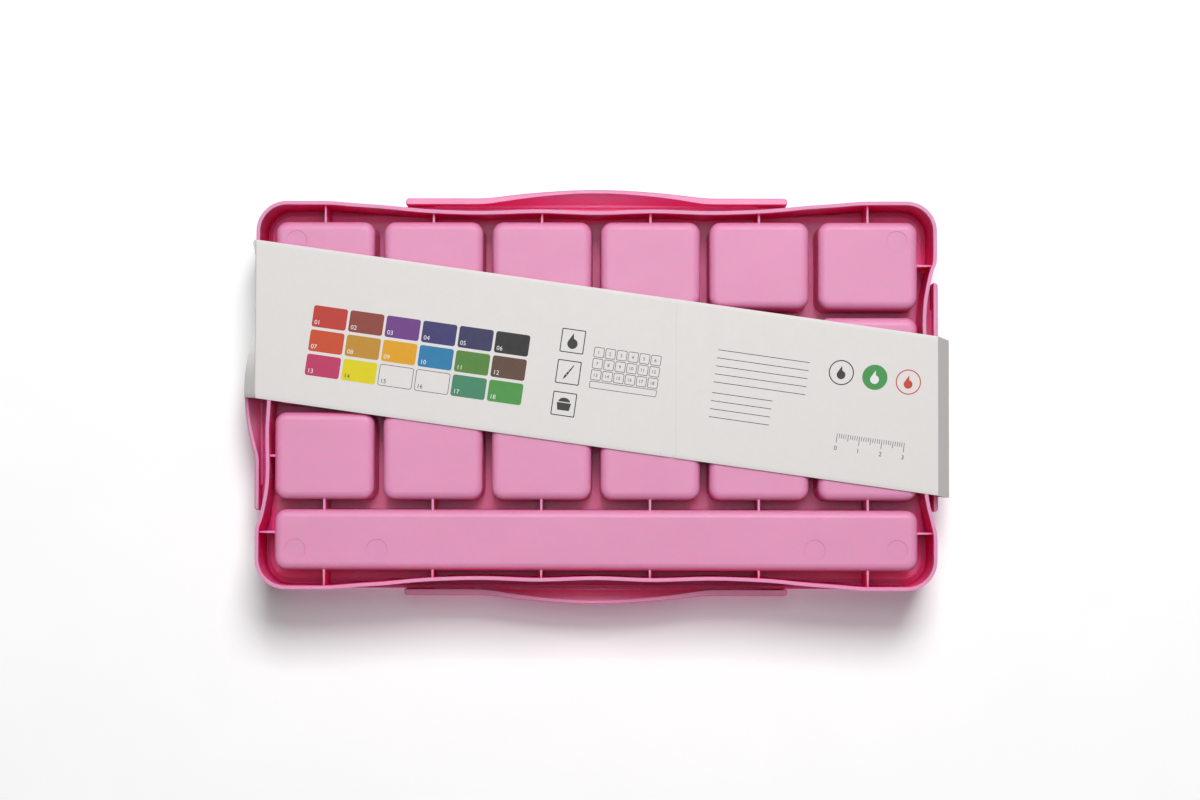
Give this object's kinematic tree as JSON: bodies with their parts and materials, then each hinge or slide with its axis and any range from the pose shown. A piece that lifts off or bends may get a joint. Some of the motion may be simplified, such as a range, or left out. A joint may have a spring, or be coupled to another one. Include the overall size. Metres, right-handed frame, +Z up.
{
  "type": "gouache paint set box",
  "caption": "Flat plastic paint box with wells for refill cups, a brush trough, swing latches on all sides, a lift-off lid, a mixing palette and a card band around it.",
  "frame": {"origin": "middle of the underside, on the plane that the box stands on", "axes": "+Z up through the lid, +X along the length, -Y towards the brush trough"},
  "size_m": [0.318, 0.1866, 0.0467],
  "materials": {
    "tray_pink": "satin",
    "lid_pink": "satin",
    "latch_pink": "satin",
    "seal_silicone": "matte",
    "palette_white": "satin",
    "card": "matte",
    "cup_clear": "gloss",
    "paint_deep_red": "satin",
    "paint_red_brown": "satin",
    "paint_violet": "satin",
    "paint_ultramarine": "satin",
    "paint_deep_blue": "satin",
    "paint_black": "satin",
    "paint_orange_red": "satin",
    "paint_earth_yellow": "satin",
    "paint_medium_yellow": "satin",
    "paint_sky_blue": "satin",
    "paint_grass_green": "satin",
    "paint_dark_umber": "satin",
    "paint_rose": "satin",
    "paint_lemon_yellow": "satin",
    "paint_warm_white": "satin",
    "paint_white": "satin",
    "paint_jade_green": "satin",
    "paint_pale_green": "satin"
  },
  "bodies": {
    "tray": {"base_tray": "tray_pink", "rim_seal": "seal_silicone"},
    "lid": {"lid": "lid_pink"},
    "latch_front": {"latch_front": "latch_pink"},
    "latch_back": {"latch_back": "latch_pink"},
    "latch_left": {"latch_left": "latch_pink"},
    "latch_right": {"latch_right": "latch_pink"},
    "palette": {"mixing_palette": "palette_white"},
    "band": {"belly_band": "card"},
    "cup_01": {"cup_01": "cup_clear", "paint_01": "paint_deep_red"},
    "cup_02": {"cup_02": "cup_clear", "paint_02": "paint_red_brown"},
    "cup_03": {"cup_03": "cup_clear", "paint_03": "paint_violet"},
    "cup_04": {"cup_04": "cup_clear", "paint_04": "paint_ultramarine"},
    "cup_05": {"cup_05": "cup_clear", "paint_05": "paint_deep_blue"},
    "cup_06": {"cup_06": "cup_clear", "paint_06": "paint_black"},
    "cup_07": {"cup_07": "cup_clear", "paint_07": "paint_orange_red"},
    "cup_08": {"cup_08": "cup_clear", "paint_08": "paint_earth_yellow"},
    "cup_09": {"cup_09": "cup_clear", "paint_09": "paint_medium_yellow"},
    "cup_10": {"cup_10": "cup_clear", "paint_10": "paint_sky_blue"},
    "cup_11": {"cup_11": "cup_clear", "paint_11": "paint_grass_green"},
    "cup_12": {"cup_12": "cup_clear", "paint_12": "paint_dark_umber"},
    "cup_13": {"cup_13": "cup_clear", "paint_13": "paint_rose"},
    "cup_14": {"cup_14": "cup_clear", "paint_14": "paint_lemon_yellow"},
    "cup_15": {"cup_15": "cup_clear", "paint_15": "paint_warm_white"},
    "cup_16": {"cup_16": "cup_clear", "paint_16": "paint_white"},
    "cup_17": {"cup_17": "cup_clear", "paint_17": "paint_jade_green"},
    "cup_18": {"cup_18": "cup_clear", "paint_18": "paint_pale_green"}
  },
  "joints": [
    {"name": "lid_lift", "type": "slide", "parent": "tray", "child": "lid", "axis": [0, 0, 1], "range_m": [0, 0.12]},
    {"name": "latch_front_swing", "type": "hinge", "parent": "lid", "child": "latch_front", "pos_m": [0, -0.0846, 0.0429], "axis": [-1, 0, 0], "range_deg": [0, 100]},
    {"name": "latch_back_swing", "type": "hinge", "parent": "lid", "child": "latch_back", "pos_m": [0, 0.0846, 0.0429], "axis": [1, 0, 0], "range_deg": [0, 100]},
    {"name": "latch_left_swing", "type": "hinge", "parent": "lid", "child": "latch_left", "pos_m": [-0.1496, 0, 0.0429], "axis": [0, 1, 0], "range_deg": [0, 100]},
    {"name": "latch_right_swing", "type": "hinge", "parent": "lid", "child": "latch_right", "pos_m": [0.1496, 0, 0.0429], "axis": [0, -1, 0], "range_deg": [0, 100]},
    {"name": "palette_lift", "type": "slide", "parent": "tray", "child": "palette", "axis": [0, 0, 1], "range_m": [0, 0.075]},
    {"name": "band_slide", "type": "slide", "parent": "tray", "child": "band", "axis": [0, 1, 0], "range_m": [0, 0.15], "deforming": ["belly_band"]},
    {"name": "cup_01_lift", "type": "slide", "parent": "tray", "child": "cup_01", "axis": [0, 0, 1], "range_m": [0, 0.04]},
    {"name": "cup_02_lift", "type": "slide", "parent": "tray", "child": "cup_02", "axis": [0, 0, 1], "range_m": [0, 0.04]},
    {"name": "cup_03_lift", "type": "slide", "parent": "tray", "child": "cup_03", "axis": [0, 0, 1], "range_m": [0, 0.04]},
    {"name": "cup_04_lift", "type": "slide", "parent": "tray", "child": "cup_04", "axis": [0, 0, 1], "range_m": [0, 0.04]},
    {"name": "cup_05_lift", "type": "slide", "parent": "tray", "child": "cup_05", "axis": [0, 0, 1], "range_m": [0, 0.04]},
    {"name": "cup_06_lift", "type": "slide", "parent": "tray", "child": "cup_06", "axis": [0, 0, 1], "range_m": [0, 0.04]},
    {"name": "cup_07_lift", "type": "slide", "parent": "tray", "child": "cup_07", "axis": [0, 0, 1], "range_m": [0, 0.04]},
    {"name": "cup_08_lift", "type": "slide", "parent": "tray", "child": "cup_08", "axis": [0, 0, 1], "range_m": [0, 0.04]},
    {"name": "cup_09_lift", "type": "slide", "parent": "tray", "child": "cup_09", "axis": [0, 0, 1], "range_m": [0, 0.04]},
    {"name": "cup_10_lift", "type": "slide", "parent": "tray", "child": "cup_10", "axis": [0, 0, 1], "range_m": [0, 0.04]},
    {"name": "cup_11_lift", "type": "slide", "parent": "tray", "child": "cup_11", "axis": [0, 0, 1], "range_m": [0, 0.04]},
    {"name": "cup_12_lift", "type": "slide", "parent": "tray", "child": "cup_12", "axis": [0, 0, 1], "range_m": [0, 0.04]},
    {"name": "cup_13_lift", "type": "slide", "parent": "tray", "child": "cup_13", "axis": [0, 0, 1], "range_m": [0, 0.04]},
    {"name": "cup_14_lift", "type": "slide", "parent": "tray", "child": "cup_14", "axis": [0, 0, 1], "range_m": [0, 0.04]},
    {"name": "cup_15_lift", "type": "slide", "parent": "tray", "child": "cup_15", "axis": [0, 0, 1], "range_m": [0, 0.04]},
    {"name": "cup_16_lift", "type": "slide", "parent": "tray", "child": "cup_16", "axis": [0, 0, 1], "range_m": [0, 0.04]},
    {"name": "cup_17_lift", "type": "slide", "parent": "tray", "child": "cup_17", "axis": [0, 0, 1], "range_m": [0, 0.04]},
    {"name": "cup_18_lift", "type": "slide", "parent": "tray", "child": "cup_18", "axis": [0, 0, 1], "range_m": [0, 0.04]}
  ],
  "couplings": [
    {"joint": "latch_left_swing", "follows": "lid_lift", "rad_per_m": 14.54},
    {"joint": "latch_right_swing", "follows": "lid_lift", "rad_per_m": 14.54},
    {"joint": "palette_lift", "follows": "lid_lift", "ratio": 0.62},
    {"joint": "band_slide", "follows": "lid_lift", "ratio": 1.25},
    {"joint": "cup_01_lift", "follows": "lid_lift", "ratio": 0.32},
    {"joint": "cup_02_lift", "follows": "lid_lift", "ratio": 0.32},
    {"joint": "cup_03_lift", "follows": "lid_lift", "ratio": 0.32},
    {"joint": "cup_04_lift", "follows": "lid_lift", "ratio": 0.32},
    {"joint": "cup_05_lift", "follows": "lid_lift", "ratio": 0.32},
    {"joint": "cup_06_lift", "follows": "lid_lift", "ratio": 0.32},
    {"joint": "cup_07_lift", "follows": "lid_lift", "ratio": 0.32},
    {"joint": "cup_08_lift", "follows": "lid_lift", "ratio": 0.32},
    {"joint": "cup_09_lift", "follows": "lid_lift", "ratio": 0.32},
    {"joint": "cup_10_lift", "follows": "lid_lift", "ratio": 0.32},
    {"joint": "cup_11_lift", "follows": "lid_lift", "ratio": 0.32},
    {"joint": "cup_12_lift", "follows": "lid_lift", "ratio": 0.32},
    {"joint": "cup_13_lift", "follows": "lid_lift", "ratio": 0.32},
    {"joint": "cup_14_lift", "follows": "lid_lift", "ratio": 0.32},
    {"joint": "cup_15_lift", "follows": "lid_lift", "ratio": 0.32},
    {"joint": "cup_16_lift", "follows": "lid_lift", "ratio": 0.32},
    {"joint": "cup_17_lift", "follows": "lid_lift", "ratio": 0.32},
    {"joint": "cup_18_lift", "follows": "lid_lift", "ratio": 0.32}
  ]
}
